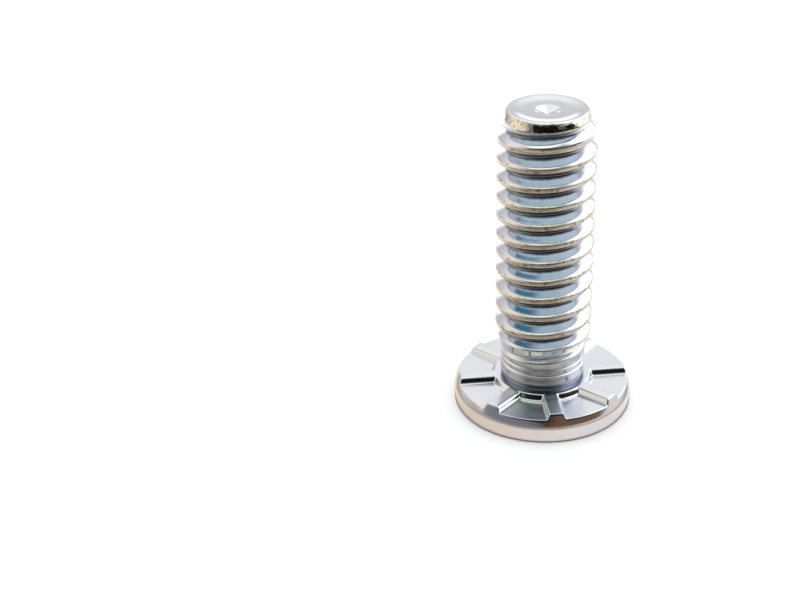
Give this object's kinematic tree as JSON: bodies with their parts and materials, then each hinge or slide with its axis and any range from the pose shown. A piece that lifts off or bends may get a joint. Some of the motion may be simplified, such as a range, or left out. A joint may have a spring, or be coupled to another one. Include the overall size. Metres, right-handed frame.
{
  "type": "self-clinching stud",
  "caption": "Threaded steel stud with a round ribbed head that presses into sheet metal and stands the thread up from it.",
  "frame": {"origin": "centre of the head's flat outer face, on which the stud stands", "axes": "+Z along the shank from the head to the tip; -Y is the side the picture looks from"},
  "size_m": [0.0116, 0.0116, 0.0206],
  "materials": {
    "zinc_plated_steel": "bright zinc plating with a clear blue passivate, fairly glossy"
  },
  "bodies": {
    "root": {"clinch_stud": "zinc_plated_steel"}
  },
  "joints": []
}
